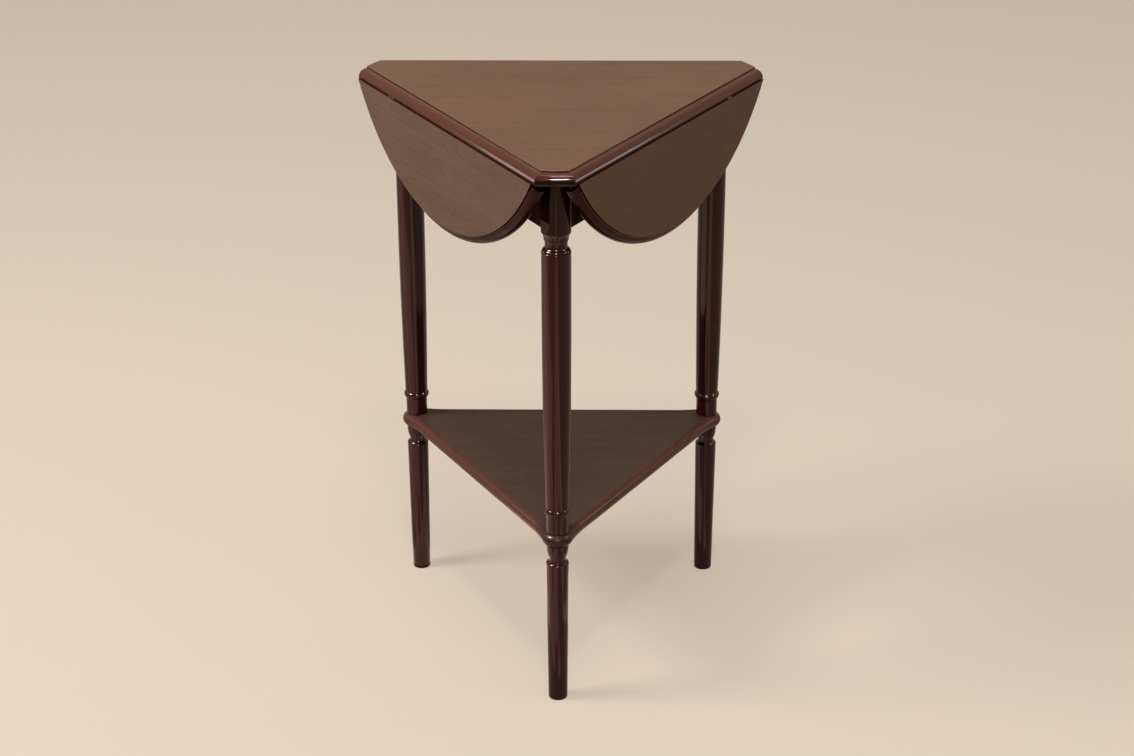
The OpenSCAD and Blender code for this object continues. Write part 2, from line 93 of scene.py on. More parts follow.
# Frame and legs: a side's line runs SIDE_N out from the axis, with a leg SIDE_S along it each way
PAD_T = 1
FRAME_Z = UNDER_Z - PAD_T
LEG_CIRCLE, LEG_R = 192.4, 15
SIDE_N = LEG_CIRCLE / 2
SIDE_S = LEG_CIRCLE * math.sqrt(3) / 2
BLOCK_H, SHOULDER_DROP = 63, 19
BLOCK_Z = FRAME_Z - BLOCK_H
SHOULDER_Z = BLOCK_Z - SHOULDER_DROP
FLAT_N = 12
FLAT_HALF = math.sqrt(LEG_R**2 - FLAT_N**2)
RUN_UP, RUN_R, RUN_DROP = 16, 40, 19.4
APRON_H, APRON_T = 60, 16

# Shelf, hinges and pivot
SHELF_Z, SHELF_T = 201, 15
SHELF_EDGE, LOBE_R, FLARE_R = 108.6, 16.5, 150
HINGE_W, HINGE_AT = 32, 112.02
SHORT_PLATE, LONG_PLATE, PLATE_T = 24, 40, 1.4
SLOT_FIT = 0.3
KNUCKLE_ROOM, KNUCKLE_TOP = 2.9, 2.6
PIVOT_R, PIVOT_T = 24, 2.5

# Fine edges, where their arcs end in degrees, and what the outline loses at the three corners
ARRIS, APRON_ARRIS, LIP = 0.45, 0.8, 0.7
FILLET, SHADOW_LINE = 0.3, 0.6
FILLET_END, OVOLO_START, COVE_START = 262, 86, 85.4
CORNER_IN, FACE_CORNER_IN = 2.8, 0.5

# Turned details of the legs, from the ring at the upper leg's foot to the lower leg's foot
RING_UP, RING_MID, RING_R = 24.1, 9.75, 4.4
SHAFT_R, SHAFT_UP, SHAFT_TOP = 12.6, 5.6, 450
FOOT_R, FOOT_UP, CALF_R = 10.2, 1.4, 11.9
LOW_NECK_DROP, COLLAR_DROP = 17.4, 5.2

# How far cutters reach past what they cut
CUT_OVER, WASTE, INNER_WASTE = 1, 2, 9
CUT_HALF = 230

# Steps of the curves, and rounds of the search for where a side ends
FILLET_STEPS, FINE_STEPS, LIP_STEPS, OVOLO_STEPS, COVE_STEPS = 3, 4, 6, 20, 24
CORNER_STEPS, LEAF_STEPS, DISC_STEPS = 20, 96, 60
TURN_STEPS, SHAFT_STEPS, CALF_STEPS, RUN_STEPS = 96, 24, 12, 16
RING_STEPS, SHOULDER_STEPS, BEAD_STEPS = 16, 5, 10
FLARE_STEPS, LOBE_STEPS, NOSE_STEPS = 14, 36, 18
ENDS_ROUNDS = 4

# Directions in degrees from +X: legs, and the middles of the sides between them
LEGS = {"front": -90, "right": 30, "left": 150}
SIDES = {"left": 210, "right": -30, "back": 90}
ROUND = (SIDES["right"], SIDES["back"], SIDES["left"])
BEND = 120


def outwards(angle):
    a = math.radians(angle)
    return Vector((math.cos(a), math.sin(a), 0))


def sideways(angle):
    a = math.radians(angle)
    return Vector((-math.sin(a), math.cos(a), 0))


def at(angle, n, s, z):
    """A point n outwards and s along a side, or for a leg's direction n out from the axis."""
    a = math.radians(angle)
    x = n * math.cos(a) - s * math.sin(a)
    y = n * math.sin(a) + s * math.cos(a)
    return Vector((x, y + AXIS_Y, z)) * MM


def new_object(name, mesh):
    obj = bpy.data.objects.new(name, mesh)
    scene.collection.objects.link(obj)
    return obj


def mesh_from(name, verts, faces):
    mesh = bpy.data.meshes.new(name)
    mesh.from_pydata([tuple(v) for v in verts], [], faces)
    mesh.validate()
    bm = bmesh.new()
    bm.from_mesh(mesh)
    bmesh.ops.recalc_face_normals(bm, faces=bm.faces)
    bm.to_mesh(mesh)
    bm.free()
    return new_object(name, mesh)


def loft(name, rings):
    """A closed body through rings of equal length, with a cap on the first and last."""
    n = len(rings[0])
    verts = [p for ring in rings for p in ring]
    faces = [
        (i * n + k, i * n + (k + 1) % n, (i + 1) * n + (k + 1) % n, (i + 1) * n + k)
        for i in range(len(rings) - 1)
        for k in range(n)
    ]
    faces.append(tuple(reversed(range(n))))
    faces.append(tuple(range((len(rings) - 1) * n, len(rings) * n)))
    return mesh_from(name, verts, faces)


def prism(name, angle, outline, half):
    """A section drawn as (outwards, up) and run along a side from -half to half."""
    rings = [[at(angle, n, s, z) for n, z in outline] for s in (-half, half)]
    return loft(name, rings)


def arc(cn, cz, r, start, stop, steps):
    """Points of an arc in a section, angles in degrees from outwards towards up."""
    out = []
    for i in range(steps + 1):
        a = math.radians(start + (stop - start) * i / steps)
        out.append((cn + r * math.cos(a), cz + r * math.sin(a)))
    return out


def modify(obj, kind, **settings):
    """Adds a modifier and applies it at once."""
    m = obj.modifiers.new(kind.lower(), kind)
    for key, value in settings.items():
        setattr(m, key, value)
    graph = bpy.context.evaluated_depsgraph_get()
    mesh = bpy.data.meshes.new_from_object(obj.evaluated_get(graph))
    obj.modifiers.clear()
    obj.data = mesh


def cut(obj, *tools):
    for tool in tools:
        modify(obj, "BOOLEAN", operation="DIFFERENCE", solver="EXACT", object=tool)
        bpy.data.objects.remove(tool)


CREASE = math.radians(32)
NORMAL_WEIGHT = 60


def smooth(obj):
    """Smooth faces with crisp edges, and normals that keep the flats flat."""
    for p in obj.data.polygons:
        p.use_smooth = True
    obj.data.set_sharp_from_angle(angle=CREASE)
    modify(obj, "WEIGHTED_NORMAL", keep_sharp=True, weight=NORMAL_WEIGHT)


# Centre top and leaves
def moulding():
    """Section round the top as (out from the face's edge, up): face, quirk, ovolo, underside."""
    foot = PIN_Z + OVOLO_R
    low = math.degrees(math.asin(-(PIN_UP - ARRIS) / OVOLO_R))
    section = arc(-ARRIS, TABLE_H - ARRIS, ARRIS, 90, 0, FINE_STEPS)
    section.append((0, foot + FILLET + SHADOW_LINE))
    section += arc(FILLET, foot + FILLET, FILLET, 180, FILLET_END, FILLET_STEPS)
    section += arc(0, PIN_Z, OVOLO_R, OVOLO_START, low, OVOLO_STEPS)
    section.append((section[-1][0] - ARRIS, UNDER_Z))
    return section


def round_r(turn, d):
    """Radius of the top's round outline, a little less at the three corners."""
    lobe = math.cos(math.radians(3 * (turn - SIDES["back"])))
    less = FACE_CORNER_IN + (CORNER_IN - FACE_CORNER_IN) * d / OVOLO_R
    return FACE_R + d - less * (1 - lobe) / 2


def side_ends(d):
    """Half the length of a straight side, where it meets the round outline."""
    n = JOINT + d
    s = math.sqrt((FACE_R + d) ** 2 - n**2)
    for _ in range(ENDS_ROUNDS):
        reach = math.degrees(math.atan2(s, n))
        s = math.sqrt(round_r(SIDES["back"] + reach, d) ** 2 - n**2)
    return s


def top_outline(d, z):
    points = []
    n, s = JOINT + d, side_ends(d)
    reach = math.degrees(math.atan2(s, n))
    for angle in ROUND:
        points.append(at(angle, n, -s, z))
        for i in range(CORNER_STEPS + 1):
            turn = angle + reach + (BEND - 2 * reach) * i / CORNER_STEPS
            points.append(at(turn, round_r(turn, d), 0, z))
    return points


def hinge_cutters(angle, near, far, depth, half):
    """Two boxes from below at a joint's hinges, near to far outwards and half wide each way."""
    out = []
    for middle in (-HINGE_AT, HINGE_AT):
        s0, s1 = middle - half, middle + half
        corners = ((near, s0), (far, s0), (far, s1), (near, s1))
        heights = (UNDER_Z - CUT_OVER, UNDER_Z + depth)
        out.append(loft("tool", [[at(angle, n, s, z) for n, s in corners] for z in heights]))
    return out


def make_centre_top():
    obj = loft("centre_board", [top_outline(d, z) for d, z in moulding()])
    tools = []
    half = HINGE_W / 2
    room = half + SLOT_FIT
    near, far = JOINT - KNUCKLE_ROOM, JOINT + KNUCKLE_ROOM
    for angle in SIDES.values():
        tools += hinge_cutters(angle, JOINT - SHORT_PLATE, JOINT, PLATE_T, half)
        tools += hinge_cutters(angle, near, JOINT + OVOLO_R + CUT_OVER, PLATE_T + SLOT_FIT, room)
        tools += hinge_cutters(angle, near, far, PIN_UP + KNUCKLE_TOP, room)
    turns = [360 * k / DISC_STEPS for k in range(DISC_STEPS)]
    heights = (UNDER_Z - CUT_OVER, UNDER_Z + PIVOT_T)
    tools.append(loft("tool", [[at(turn, PIVOT_R, 0, z) for turn in turns] for z in heights]))
    cut(obj, *tools)
    smooth(obj)
    return obj


def joint_cutter(angle):
    """What a leaf loses at its joint: the hollow over the ovolo, and all that lies inside it."""
    lip = JOINT + GAP + LIP
    inner, above, below = JOINT - INNER_WASTE, TABLE_H + WASTE, UNDER_Z - WASTE
    section = [(inner, below), (inner, above), (lip, above)]
    section += arc(lip, TABLE_H - LIP, LIP, 90, 180, LIP_STEPS)
    section += arc(JOINT, PIN_Z, COVE_R, COVE_START, 0, COVE_STEPS)
    outer = JOINT + COVE_R + ARRIS
    section += [(JOINT + COVE_R, UNDER_Z + ARRIS), (outer, UNDER_Z), (outer, below)]
    return prism("tool", angle, section, CUT_HALF)


def make_leaf(name, angle):
    """A leaf as it lies when raised, with its mouldings and the rebates for its hinges."""
    rings = []
    for d, z in moulding():
        reach = math.degrees(math.acos((JOINT - CUT_OVER) / (FACE_R + d)))
        turns = [angle - reach + 2 * reach * i / LEAF_STEPS for i in range(LEAF_STEPS + 1)]
        rings.append([at(turn, round_r(turn, d), 0, z) for turn in turns])
    obj = loft(name, rings)
    cut(obj, joint_cutter(angle))
    near, far = JOINT + COVE_R - CUT_OVER, JOINT + LONG_PLATE
    cut(obj, *hinge_cutters(angle, near, far, PLATE_T, HINGE_W / 2))
    return obj


def hang(obj, angle):
    """A quarter turn about the leaf's pins."""
    pin = at(angle, JOINT, 0, PIN_Z)
    turn = Matrix.Rotation(math.radians(90), 4, sideways(angle))
    obj.data.transform(Matrix.Translation(pin) @ turn @ Matrix.Translation(-pin))


# Legs, turned from profiles of (radius, height) from the bottom up
def upper_profile():
    ring_z = SHELF_Z + RING_UP
    ankle = [(11.85, -7.6), (11.95, -6.2), (12.1, -5.2), (12.2, -4.7), (12.15, -4.3)]
    p = [(11.6, SHELF_Z), (11.8, SHELF_Z + 0.2)]
    p += [(r, ring_z + up) for r, up in ankle]
    p += arc(RING_MID, ring_z, RING_R, -56, 50, RING_STEPS)
    shaft_z = ring_z + SHAFT_UP
    p += [(12.45, ring_z + 3.7), (SHAFT_R, ring_z + 4.1), (SHAFT_R, shaft_z)]
    for i in range(1, SHAFT_STEPS + 1):
        t = i / SHAFT_STEPS
        p.append((LEG_R - (LEG_R - SHAFT_R) * (1 - t) ** 2, shaft_z + (SHAFT_TOP - shaft_z) * t))
    p += arc(LEG_R - 0.6, SHOULDER_Z - 1.6, 0.6, 0, 62, SHOULDER_STEPS)
    p += [(14.45, SHOULDER_Z - 0.85)]
    p += arc(11.0, SHOULDER_Z - 0.7, 3.4, 2, 60, BEAD_STEPS)
    neck = [(12.2, 16.25), (11.75, 15.6), (11.45, 14.7), (11.35, 13.6), (11.4, 12.2), (11.55, 10.8)]
    neck += [(11.8, 9.5), (12.1, 8.5), (12.35, 7.9), (12.55, 7.4), (12.65, 6.8), (12.62, 6.2)]
    neck += [(12.6, 5.7), (12.75, 5.0), (13.05, 3.9), (13.45, 2.7), (13.95, 1.5), (14.45, 0.6)]
    p += [(r, BLOCK_Z - drop) for r, drop in neck]
    p += arc(LEG_R - 0.5, BLOCK_Z + 0.4, 0.5, -60, 0, FINE_STEPS)
    p += [(LEG_R, FRAME_Z - 0.3), (LEG_R - 0.3, FRAME_Z)]
    return p


def lower_profile():
    low = SHELF_Z - SHELF_T
    neck_z = low - LOW_NECK_DROP
    collar_z = neck_z - COLLAR_DROP
    p = [(9.2, 0), (9.8, 0.25), (10.15, 0.9), (FOOT_R, FOOT_UP)]
    for i in range(1, CALF_STEPS + 1):
        t = i / CALF_STEPS
        p.append((FOOT_R + (CALF_R - FOOT_R) * t, FOOT_UP + (collar_z - FOOT_UP) * t))
    p += arc(10.1, collar_z - 0.3, 1.8, 4, 80, BEAD_STEPS)
    neck = [(9.75, -3.0), (9.35, -2.3), (9.1, -1.4), (9.0, -0.4), (9.05, 0.6), (9.3, 1.7)]
    neck += [(9.75, 3.0), (10.25, 4.4), (10.75, 6.2), (11.15, 8.3), (11.45, 10.8)]
    neck += [(11.7, 13.8), (11.8, 16.6)]
    p += [(r, neck_z + up) for r, up in neck]
    p += [(11.8, low - 0.2), (11.6, low)]
    return p


def turned(name, angle, profile):
    centre = at(angle, LEG_CIRCLE, 0, 0)
    rings = []
    for r, z in profile:
        ring = []
        for k in range(TURN_STEPS):
            a = math.radians(angle + 360 * (k + 0.5) / TURN_STEPS)
            ring.append(centre + Vector((r * math.cos(a), r * math.sin(a), z)) * MM)
        rings.append(ring)
    return loft(name, rings)


def leg_tool(leg_angle, turn, outline, half, shift=0.0):
    """A cutter drawn around a leg's axis as (outwards towards a side, up)."""
    centre = at(leg_angle, LEG_CIRCLE, 0, 0)
    out = outwards(leg_angle + turn) * MM
    along = sideways(leg_angle + turn) * MM
    up = Vector((0, 0, MM))
    rings = [
        [centre + out * n + along * (shift + s) + up * z for n, z in outline] for s in (-half, half)
    ]
    return loft("tool", rings)


def flat_outline():
    """What a flat takes off the round block, with its hollow run-out at the lower end."""
    far, above = LEG_R + WASTE, FRAME_Z + WASTE
    run_z = BLOCK_Z + RUN_UP
    outline = [(far, above), (FLAT_N, above), (FLAT_N, run_z)]
    for i in range(1, RUN_STEPS + 1):
        dz = RUN_DROP * i / RUN_STEPS
        outline.append((FLAT_N + RUN_R - math.sqrt(RUN_R**2 - dz**2), run_z - dz))
    outline.append((far, run_z - RUN_DROP))
    return outline


def make_upper_leg(key):
    angle = LEGS[key]
    obj = turned("leg_upper_" + key, angle, upper_profile())
    low, high = FRAME_Z - APRON_H, FRAME_Z + WASTE
    inner, outer = FLAT_N - APRON_T, FLAT_N + CUT_OVER
    apron_end = [(inner, low), (outer, low), (outer, high), (inner, high)]
    half = LEG_R / 2
    for turn in (-60, 60):
        cut(obj, leg_tool(angle, turn, flat_outline(), LEG_R + WASTE))
        cut(obj, leg_tool(angle, turn, apron_end, half, math.copysign(FLAT_HALF + half, turn)))
    smooth(obj)
    return obj


def make_lower_leg(key):
    obj = turned("leg_lower_" + key, LEGS[key], lower_profile())
    smooth(obj)
    return obj


# Shelf and aprons
def shelf_outline(d, z):
    """Straight, hollow and rounded stretches that meet smoothly, d outside the shelf's edge."""
    flare_n = SHELF_EDGE + FLARE_R
    reach = FLARE_R + LOBE_R
    flare_s = SIDE_S - math.sqrt(reach**2 - (flare_n - SIDE_N) ** 2)
    turn = math.asin((SIDE_S - flare_s) / reach)
    span = BEND / 2 + math.degrees(turn)
    hollow, lobe = FLARE_R - d, LOBE_R + d
    points = []
    for angle in ROUND:
        for hand in (-1, 1):
            for i in range(FLARE_STEPS):
                t = i / FLARE_STEPS if hand > 0 else 1 - i / FLARE_STEPS
                n = flare_n - hollow * math.cos(turn * t)
                s = hand * (flare_s + hollow * math.sin(turn * t))
                points.append(at(angle, n, s, z))
        leg = angle + BEND / 2
        for i in range(LOBE_STEPS):
            a = math.radians(-span + 2 * span * i / LOBE_STEPS)
            points.append(at(leg, LEG_CIRCLE + lobe * math.cos(a), lobe * math.sin(a), z))
    return points


def make_shelf():
    nose = SHELF_T / 2
    mid = SHELF_Z - nose
    rings = []
    for i in range(NOSE_STEPS + 1):
        a = math.radians(90 - 180 * i / NOSE_STEPS)
        rings.append(shelf_outline(-nose * (1 - math.cos(a)), mid + nose * math.sin(a)))
    obj = loft("shelf_board", rings)
    smooth(obj)
    return obj


def make_apron(key):
    outer, inner = SIDE_N + FLAT_N, SIDE_N + FLAT_N - APRON_T
    r = APRON_ARRIS
    corner_z = FRAME_Z - APRON_H + r
    section = arc(outer - r, corner_z, r, -90, 0, FINE_STEPS) + [(outer, FRAME_Z), (inner, FRAME_Z)]
    section += arc(inner + r, corner_z, r, 180, 270, FINE_STEPS)
    obj = prism("apron_board_" + key, SIDES[key], section, SIDE_S - FLAT_HALF)
    smooth(obj)
    return obj


# Materials
def scaled(color, k):
    return tuple(c * k for c in color)


class Nodes:
    """Short calls for building one material's node tree."""

    def __init__(self, name):
        self.mat = bpy.data.materials.new(name)
        self.mat.use_nodes = True
        self.tree = self.mat.node_tree
        self.tree.nodes.clear()
        self.out = self.add("ShaderNodeOutputMaterial")
        self.bsdf = self.add("ShaderNodeBsdfPrincipled")
        self.link(self.bsdf.outputs[0], self.out.inputs[0])

    def add(self, kind, **props):
        node = self.tree.nodes.new(kind)
        for k, v in props.items():
            setattr(node, k, v)
        return node

    def link(self, a, b):
        self.tree.links.new(a, b)

    def shader(self, key, value):
        """Sets a value that is the same all over the surface on the shader's own socket."""
        self.bsdf.inputs[key].default_value = value

    def to_shader(self, key, source):
        self.link(source, self.bsdf.inputs[key])

    def coords(self, turn=(0, 0, 0), scale=(1, 1, 1), place=(0, 0, 0)):
        tex = self.add("ShaderNodeTexCoord")
        rot = self.add("ShaderNodeMapping")
        rot.inputs["Rotation"].default_value = turn
        rot.inputs["Location"].default_value = place
        self.link(tex.outputs["Object"], rot.inputs[0])
        size = self.add("ShaderNodeMapping")
        size.inputs["Scale"].default_value = scale
        self.link(rot.outputs[0], size.inputs[0])
        return size.outputs[0]

    def noise(self, vector, scale, detail=4, rough=0.5, distort=0.0):
        node = self.add("ShaderNodeTexNoise")
        self.link(vector, node.inputs["Vector"])
        node.inputs["Scale"].default_value = scale
        node.inputs["Detail"].default_value = detail
        node.inputs["Roughness"].default_value = rough
        node.inputs["Distortion"].default_value = distort
        return node.outputs["Fac"]

    def remap(self, value, a, b, c, d):
        """Brings the range a to b to the range c to d, and stops there."""
        node = self.add("ShaderNodeMapRange")
        self.link(value, node.inputs["Value"])
        for key, v in (("From Min", a), ("From Max", b), ("To Min", c), ("To Max", d)):
            node.inputs[key].default_value = v
        return node.outputs[0]

    def math(self, op, a, b):
        node = self.add("ShaderNodeMath", operation=op)
        for i, v in enumerate((a, b)):
            if isinstance(v, (int, float)):
                node.inputs[i].default_value = v
            else:
                self.link(v, node.inputs[i])
        return node.outputs[0]

    def blend(self, a, b, share):
        """Sum of a and b, with share of the first."""
        return self.math("ADD", self.math("MULTIPLY", a, share), self.math("MULTIPLY", b, 1 - share))

    def ramp(self, value, stops):
        node = self.add("ShaderNodeValToRGB")
        steps = node.color_ramp.elements
        while len(steps) > 1:
            steps.remove(steps[-1])
        steps[0].position, steps[0].color = stops[0][0], (*stops[0][1], 1)
        for place, color in stops[1:]:
            steps.new(place).color = (*color, 1)
        self.link(value, node.inputs[0])
        return node.outputs["Color"]

    def mix(self, factor, a, b):
        node = self.add("ShaderNodeMix", data_type="RGBA")
        for key, v in ((0, factor), (6, a), (7, b)):
            if isinstance(v, (int, float)):
                node.inputs[key].default_value = v
            elif isinstance(v, tuple):
                node.inputs[key].default_value = (*v, 1)
            else:
                self.link(v, node.inputs[key])
        return node.outputs[2]

    def brighten(self, color, value):
        node = self.add("ShaderNodeHueSaturation")
        self.link(value, node.inputs["Value"])
        self.link(color, node.inputs["Color"])
        return node.outputs[0]

    def fade(self, color, kind, way, dark_at, light_at, least):
        """Painted shade: darkens a colour to least of itself at dark_at, in mm along way or away
        from it.
        """
        tex = self.add("ShaderNodeTexCoord")
        along = self.add("ShaderNodeVectorMath", operation=kind)
        along.inputs[1].default_value = way
        self.link(tex.outputs["Object"], along.inputs[0])
        level = self.remap(along.outputs["Value"], dark_at * MM, light_at * MM, least, 1)
        return self.mix(level, (0, 0, 0), color)

    def bump(self, height, strength, distance, after=None):
        node = self.add("ShaderNodeBump")
        node.inputs["Strength"].default_value = strength
        node.inputs["Distance"].default_value = distance
        self.link(height, node.inputs["Height"])
        if after is not None:
            self.link(after, node.inputs["Normal"])
        return node.outputs[0]


def lacquer(
    name, base, turn, seed, rough, spec=0.2, coat=0.1, tint=None, grain=0.12, fine=1.0, painted_shades=()
):
    """Stained wood under lacquer; the grain runs along the piece's own X after turn."""
    m = Nodes(name)
    place = (seed * 0.37, seed * 0.21, seed * 0.53)
    even = m.coords(turn, (1, 1, 1), place)

    # Streaks and fibres along the grain
    streak = m.noise(m.coords(turn, (1, 14, 14), place), 6, 6, 0.6, 0.4)
    fibre = m.noise(m.coords(turn, (1, 30, 30), place), 22, 4, 0.6)
    tone = m.blend(streak, fibre, 0.55)
    dark, light = scaled(base, 1 - grain), scaled(base, 1 + grain)
    color = m.ramp(tone, [(0.36, dark), (0.5, base), (0.64, light)])

    # Clouds in the stain, mottle, and hair lines
    cloud = m.remap(m.noise(even, 9, 3, 0.5), 0.3, 0.7, 0.94, 1.06)
    mottle = m.remap(m.noise(even, 260, 3, 0.6), 0.3, 0.7, -0.04, 0.04)
    color = m.brighten(color, m.math("ADD", cloud, mottle))
    hair = m.noise(m.coords(turn, (1, 34, 34), place), 60, 3, 0.6)
    color = m.brighten(color, m.remap(hair, 0.34, 0.66, 1 - 0.2 * fine, 1 + 0.2 * fine))

    # Dark pores, and painted shade that makes the colour darker towards an edge
    pore = m.remap(m.noise(m.coords(turn, (1, 26, 26), place), 90, 2, 0.5), 0.58, 0.68, 0, 1)
    color = m.mix(m.math("MULTIPLY", pore, 0.4 * fine), color, scaled(base, 0.4))
    for settings in painted_shades:
        color = m.fade(color, *settings)
    m.to_shader("Base Color", color)

    # Gloss with smears, and the lacquer's faint peel over the pores
    smear = m.noise(even, 14, 5, 0.6)
    m.to_shader("Roughness", m.remap(smear, 0.3, 0.7, rough - 0.03, rough + 0.05))
    m.shader("Specular IOR Level", spec)
    if tint:
        m.shader("Specular Tint", (*tint, 1))
    m.shader("Coat Weight", coat)
    m.shader("Coat Roughness", 0.06)
    peel = m.bump(m.noise(even, 260, 2, 0.5), 0.05, 0.0004)
    m.to_shader("Normal", m.bump(pore, 0.12 * fine, -0.0001, peel))
    return m.mat


def raw_wood(name, base, turn, seed):
    m = Nodes(name)
    place = (seed * 0.31, seed * 0.17, seed * 0.41)
    streak = m.noise(m.coords(turn, (1, 16, 16), place), 7, 6, 0.65, 0.6)
    fibre = m.noise(m.coords(turn, (1, 40, 40), place), 30, 3, 0.6)
    tone = m.blend(streak, fibre, 0.7)
    dark, light = scaled(base, 0.6), scaled(base, 1.35)
    m.to_shader("Base Color", m.ramp(tone, [(0.34, dark), (0.5, base), (0.66, light)]))
    m.to_shader("Roughness", m.remap(fibre, 0.3, 0.7, 0.55, 0.75))
    m.shader("Specular IOR Level", 0.3)
    m.to_shader("Normal", m.bump(fibre, 0.25, 0.0003))
    return m.mat


def metal(name, base, rough, tarnish):
    m = Nodes(name)
    even = m.coords()
    spots = m.noise(even, 90, 5, 0.6)
    film = m.noise(even, 18, 3, 0.5)
    color = m.mix(m.remap(spots, 0.45, 0.75, 0, 0.6), base, tarnish)
    color = m.mix(m.remap(film, 0.4, 0.7, 0, 0.3), color, scaled(base, 0.7))
    m.to_shader("Base Color", color)
    m.shader("Metallic", 1)
    m.to_shader("Roughness", m.remap(spots, 0.3, 0.7, rough - 0.06, rough + 0.12))
    scratch = m.noise(m.coords(scale=(1, 30, 1)), 60, 3, 0.6)
    m.to_shader("Normal", m.bump(scratch, 0.12, 0.0001))
    return m.mat


def felt(name, base):
    m = Nodes(name)
    fluff = m.noise(m.coords(), 900, 4, 0.7)
    dark, light = scaled(base, 0.6), scaled(base, 1.6)
    m.to_shader("Base Color", m.ramp(fluff, [(0.3, dark), (0.7, light)]))
    m.shader("Roughness", 0.95)
    m.shader("Sheen Weight", 0.4)
    m.to_shader("Normal", m.bump(fluff, 0.6, 0.0005))
    return m.mat


# Colours of the finish, with painted shade and painted sheen among them as marked
RED = (0.034, 0.0034, 0.0017)
TOP_FACE = (0.136, 0.0760, 0.0455)
LEAF_FACES = {
    "left": (0.146, 0.085, 0.0565),
    "right": (0.136, 0.0700, 0.0405),
    "back": (0.141, 0.078, 0.0480),
}
RIM = (0.083, 0.021, 0.0105)
CLIP = (0.080, 0.017, 0.008)
LEAF_RIM = (0.051, 0.0080, 0.0040)
SHELF_RIM = (0.098, 0.0300, 0.0165)
# Painted sheen: a light grey-pink for the hollow run-outs of the legs' flats, for the light they
# catch
RUN_OUT_SHEEN = (0.20, 0.12, 0.115)
SHELF = (0.071, 0.0385, 0.0260)
# The arris in a lighter red: a worn edge, and a painted highlight along it
ARRIS_WEAR_AND_GLINT = (0.14, 0.050, 0.028)
# Painted shade: near black for narrow gaps and slot walls, and dark red for the quirk's line
SHADE = (0.022, 0.0055, 0.0035)
QUIRK_SHADE = (0.060, 0.016, 0.009)
# Tint of the lacquer's reflections: a painted red cast in what the finish mirrors
WARM_REFLECTION_TINT = (1.0, 0.50, 0.40)

# Turns of the grain, and directions of the painted shade
LEVEL = (0, 0, 0)
UPRIGHT = (0, math.radians(90), 0)
UP = (0, 0, 1)

# Steps between the seeds of one piece's materials
RIM_SEED, ARRIS_SEED, QUIRK_SEED = 9, 12, 15
CLIP_SEED, SLOT_SEED = 17, 18
RUN_OUT_SEED, FOOT_SEED = 3, 5
APRON_SEED = 20


def face_wood(name, base, turn, seed):
    return lacquer(name + "_face", base, turn, seed, 0.47, 0.04, 0.0, grain=0.085, fine=0.8)


def rim_wood(name, base, turn, seed, spec, coat, painted_shades):
    return lacquer(name + "_rim", base, turn, seed + RIM_SEED, 0.16, spec, coat, WARM_REFLECTION_TINT, painted_shades=painted_shades)


def shaded_wood(name, base, turn, seed):
    """Wood painted dark as shade, for a narrow gap that light hardly reaches."""
    return lacquer(name, base, turn, seed, 0.5, spec=0.01, coat=0.0)


def leg_wood(name, seed):
    return lacquer(name, RED, UPRIGHT, seed, 0.15, spec=0.07, coat=0.27, tint=WARM_REFLECTION_TINT)


def dress(obj, *materials):
    obj.data.materials.clear()
    for mat in materials:
        obj.data.materials.append(mat)


# Tests of a face's middle, in millimetres, and its normal
FLAT_Z, QUIRK_WALL_Z, UNDER_FACE_Z = 0.985, 0.9, -0.98
ARRIS_SEEN = 0.42
CLIP_SPREAD = 25
TOUCH = 0.1
LIP_BELOW, COVE_BEYOND, LEAN_OUT = 0.3, 0.2, 0.1
RUN_OUT_LOW, RUN_OUT_HIGH = BLOCK_Z - 2, BLOCK_Z + RUN_UP - 4
RUN_OUT_TILT = (0.1, 0.6)


def by_place(obj, test, slot_no):
    """Gives the faces whose middle and normal pass the test another material."""
    for p in obj.data.polygons:
        if test(p.center / MM, p.normal):
            p.material_index = slot_no


def off_face(c, n):
    return n.z < FLAT_Z


def off_both_faces(c, n):
    return abs(n.z) < FLAT_Z


def in_quirk(c, n):
    """The small wall and fillet under the top's arris."""
    foot = TABLE_H - QUIRK
    return foot - TOUCH < c.z < foot + FILLET + SHADOW_LINE and n.z < QUIRK_WALL_Z


def on_arris(c, n):
    return c.z > TABLE_H - ARRIS_SEEN and n.z < FLAT_Z


def on_clip(c, n):
    """The moulding at the three corners, which looks along a leg's direction."""
    turn = math.degrees(math.atan2(n.y, n.x))
    off = min(abs((turn - leg + 180) % 360 - 180) for leg in LEGS.values())
    return n.z < FLAT_Z and off < CLIP_SPREAD


def distance_out(c, angle):
    return (c - Vector((0, AXIS_Y, 0))).dot(outwards(angle))


def in_hinge_slot(c, n):
    """Walls of the slots that let the long hinge plates pass under the moulding."""
    if c.z > UNDER_Z + PIN_UP + KNUCKLE_TOP + TOUCH or n.z < UNDER_FACE_Z:
        return False
    for angle in SIDES.values():
        along = abs((c - Vector((0, AXIS_Y, 0))).dot(sideways(angle)))
        beside = abs(along - HINGE_AT) < HINGE_W / 2 + SLOT_FIT + TOUCH
        if beside and distance_out(c, angle) > JOINT - KNUCKLE_ROOM - TOUCH:
            return True
    return False


def in_cove(angle):
    """The test for the hollow at a raised leaf's joint."""

    def test(c, n):
        if c.z > TABLE_H - LIP_BELOW or n.z < UNDER_FACE_Z or n.dot(outwards(angle)) > LEAN_OUT:
            return False
        return distance_out(c, angle) < JOINT + COVE_R + COVE_BEYOND

    return test


def on_lip(angle):
    """The test for the rounded edge over a raised leaf's hollow."""

    def test(c, n):
        out = distance_out(c, angle)
        return n.z < FLAT_Z and c.z > TABLE_H - LIP and out < JOINT + GAP + LIP

    return test


def on_run_out(c, n):
    """The hollow at the lower end of a leg's flat."""
    return RUN_OUT_LOW < c.z < RUN_OUT_HIGH and RUN_OUT_TILT[0] < n.z < RUN_OUT_TILT[1]


# Pieces, each with its finish and its place in the frame
def finish_piece(obj, body, slot_name, *nodes):
    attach(obj, body)
    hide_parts(*nodes)


